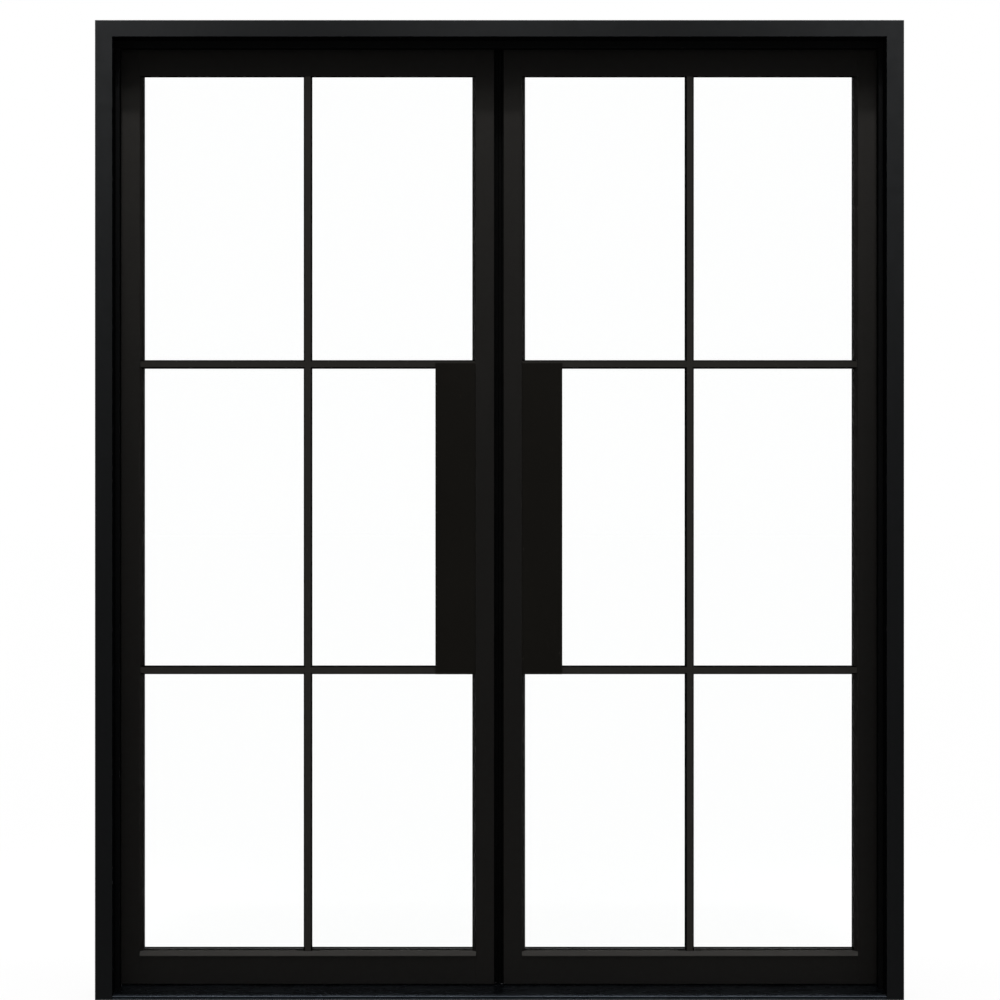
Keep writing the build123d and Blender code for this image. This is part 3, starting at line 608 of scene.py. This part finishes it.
def studio_camera():
    """Camera square on to the frame's face, a little left of the middle."""
    data = bpy.data.cameras.new("camera")
    data.lens = CAMERA_LENS_MM
    data.sensor_width = CAMERA_SENSOR_MM
    data.shift_x = CAMERA_SHIFT_X
    data.shift_y = CAMERA_SHIFT_Y
    camera = bpy.data.objects.new("camera", data)
    camera.location = (CAMERA_X, cad_low.y - CAMERA_DISTANCE, CAMERA_HEIGHT)
    camera.rotation_euler = (LEVEL_VIEW, 0.0, 0.0)
    bpy.context.scene.collection.objects.link(camera)
    bpy.context.scene.camera = camera


# Pieces beyond the CAD

def put_mesh(name, points, faces, finish, body):
    """A finished piece from an array of points and a list of faces, riding on a body."""
    mesh = bpy.data.meshes.new(name)
    mesh.from_pydata(points.tolist(), [], faces)
    mesh.update()
    mesh.materials.append(FINISHES[finish])
    piece = bpy.data.objects.new(name, mesh)
    bpy.context.scene.collection.objects.link(piece)
    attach(piece, body)
    return piece


def ring_faces(rings, around, closed=False):
    """Quads between rings of points that turn to the left about their direction of travel, facing outward:
    the corners are points i and i + 1 of one ring, then i + 1 and i of the next. A closed row joins its last
    ring to its first."""
    ring = np.arange(rings if closed else rings - 1)[:, None]
    point = np.arange(around)[None, :]
    start = ring * around
    ahead = (ring + 1) % rings * around
    beside = (point + 1) % around
    corners = np.broadcast_arrays(start + point, start + beside, ahead + beside, ahead + point)
    return np.stack(corners, -1).reshape(-1, 4).tolist()


def flipped(faces):
    """Faces turned to look the other way."""
    return [face[::-1] for face in faces]


def joined(parts):
    """Points and faces of several meshes as one."""
    faces = []
    start = 0
    for part_points, part_faces in parts:
        faces += [[corner + start for corner in face] for face in part_faces]
        start += len(part_points)
    return np.concatenate([part_points for part_points, part_faces in parts]), faces


def weld_bead(start, end, tube_way, plate_way):
    """Fillet weld in the corner between a tube and a plate: a rod on a line just off the corner, with radius
    r(s, a) = r0 * ends(s) * (1 + ripple * sin(2 pi (s / pitch + lean * cos(a - pi / 4)))),
    so that the ripples are crescents. ends(s) is the root of a straight taper at both ends."""
    start = np.array(start, float)
    end = np.array(end, float)
    tube_way = np.array(tube_way, float)
    plate_way = np.array(plate_way, float)
    run = np.linalg.norm(end - start)
    steps = int(round(run / WELD_STEP)) + 1
    s = np.linspace(0.0, run, steps)[:, None]
    a = np.linspace(0.0, 2.0 * math.pi, WELD_AROUND, endpoint=False)[None, :]
    taper = np.minimum(s, run - s) / (WELD_TAPER_RADII * WELD_RADIUS)
    ends = np.sqrt(np.clip(taper, WELD_TIP_SHARE, 1.0))
    crest = s / WELD_PITCH + WELD_LEAN * np.cos(a - math.pi / 4.0)
    ripple = 1.0 + WELD_RIPPLE * np.sin(2.0 * math.pi * crest)
    radius = WELD_RADIUS * ends * ripple
    line = start + (end - start) * (s / run) + WELD_OFFSET * WELD_RADIUS * (tube_way + plate_way)
    over_tube = (radius * np.cos(a))[..., None] * tube_way
    over_plate = (radius * np.sin(a))[..., None] * plate_way
    rod = line[:, None, :] + over_tube + over_plate
    first = list(range(WELD_AROUND))
    last = [corner + (steps - 1) * WELD_AROUND for corner in first]
    faces = ring_faces(steps, WELD_AROUND) + [first[::-1], last]
    left_handed = np.dot(np.cross(tube_way, plate_way), end - start) < 0.0
    return rod.reshape(-1, 3), flipped(faces) if left_handed else faces


def hinge_welds(node, pins, body):
    """Welds along the three free edges of each hinge wing on its tube."""
    low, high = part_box(node)
    pin_low, pin_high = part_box(pins)
    axis_x = (pin_low.x + pin_high.x) / 2
    tube_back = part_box("head_jamb")[1].y
    far_x = low.x if abs(low.x - axis_x) > abs(high.x - axis_x) else high.x
    away = math.copysign(1.0, far_x - axis_x)
    near_x = axis_x + away * WING_START
    parts = []
    for centre in (low.z + HINGE_HALF, (low.z + high.z) / 2, high.z - HINGE_HALF):
        far_bottom = (far_x, tube_back, centre - HINGE_HALF)
        far_top = (far_x, tube_back, centre + HINGE_HALF)
        near_bottom = (near_x, tube_back, centre - HINGE_HALF)
        near_top = (near_x, tube_back, centre + HINGE_HALF)
        parts.append(weld_bead(far_bottom, far_top, (away, 0.0, 0.0), INDOORS))
        parts.append(weld_bead(near_top, far_top, UP, INDOORS))
        parts.append(weld_bead(near_bottom, far_bottom, DOWN, INDOORS))
    points, faces = joined(parts)
    put_mesh(node + "_welds", points, faces, "frame", body)


def prism(hand, section, depth, bottom, top):
    """Upright prism: the section's (x, y) points, turned to the leaf's hand, at two heights."""
    rim = np.array(section)
    count = len(section)
    levels = [np.stack([hand * rim[:, 0], depth + rim[:, 1], np.full(count, z)], -1) for z in (bottom, top)]
    faces = ring_faces(2, count) + [list(range(count))[::-1], list(range(count, 2 * count))]
    return np.concatenate(levels), flipped(faces) if hand < 0.0 else faces


def meeting_bulb(side):
    """Soft meeting seal: a base strip with a neck, and a hollow bulb of radius r about (c, d) whose wall lies
    flat against the other leaf's: p(a) = (max(c + r cos a, flat), d + r sin a). It is carried up the leaf
    from just above the sill, with a plug under the stile's end."""
    node = f"{side}_meeting_seal"
    low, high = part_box(node)
    hand = 1.0 if low.x > 0.0 else -1.0
    edge = max(abs(low.x), abs(high.x))
    depth = (low.y + high.y) / 2
    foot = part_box(f"{side}_bottom_sweep")[0].z
    a = np.linspace(0.0, 2.0 * math.pi, BULB_AROUND, endpoint=False)
    outer_wall = (BULB_RADIUS, 0.0)
    inner_wall = (BULB_RADIUS - BULB_WALL, BULB_WALL)
    walls = ((*outer_wall, foot), (*outer_wall, high.z), (*inner_wall, high.z), (*inner_wall, foot))
    rings = []
    for radius, flat, z in walls:
        across = hand * np.maximum(BULB_CENTRE + radius * np.cos(a), flat)
        rings.append(np.stack([across, depth + radius * np.sin(a), np.full_like(a, z)], -1))
    bulb_faces = ring_faces(len(walls), BULB_AROUND, closed=True)
    bulb = (np.concatenate(rings), flipped(bulb_faces) if hand < 0.0 else bulb_faces)
    neck = BULB_NECK / 2
    half = SEAL_BASE_HALF
    strip = edge - SEAL_BASE
    bulb_side = BULB_CENTRE + BULB_RADIUS - BULB_WALL / 2
    section = [(edge, -half), (edge, half), (strip, half), (strip, neck)]
    section += [(bulb_side, neck), (bulb_side, -neck), (strip, -neck), (strip, -half)]
    base = prism(hand, section, depth, foot, high.z)
    under = edge + PLUG_REACH
    plug_section = [(under, -half), (under, half), (edge, half), (edge, -half)]
    plug = prism(hand, plug_section, depth, foot, low.z - PLUG_CLEARANCE)
    points, faces = joined([bulb, base, plug])
    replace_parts(put_mesh(f"{side}_meeting_bulb", points, faces, "seal", f"{side}_leaf"), node)


dress_nodes()
for side in SIDES:
    hinge_welds(f"{side}_jamb_hinges", f"{side}_hinge_pins", "frame")
    hinge_welds(f"{side}_leaf_hinges", f"{side}_hinge_pins", f"{side}_leaf")
    meeting_bulb(side)
studio_world()
studio_floor()
lamp_row("key", KEY_FORWARD, KEY_ELEVATION, KEY_TILT, KEY_SPREAD, KEY_HEIGHT, KEY_POWER_PER_METRE)
lamp_row("fill", FILL_FORWARD, FILL_ELEVATION, FILL_TILT, FILL_SPREAD, FILL_HEIGHT, FILL_POWER_PER_METRE)
studio_camera()
bpy.context.scene.view_settings.view_transform = "Standard"
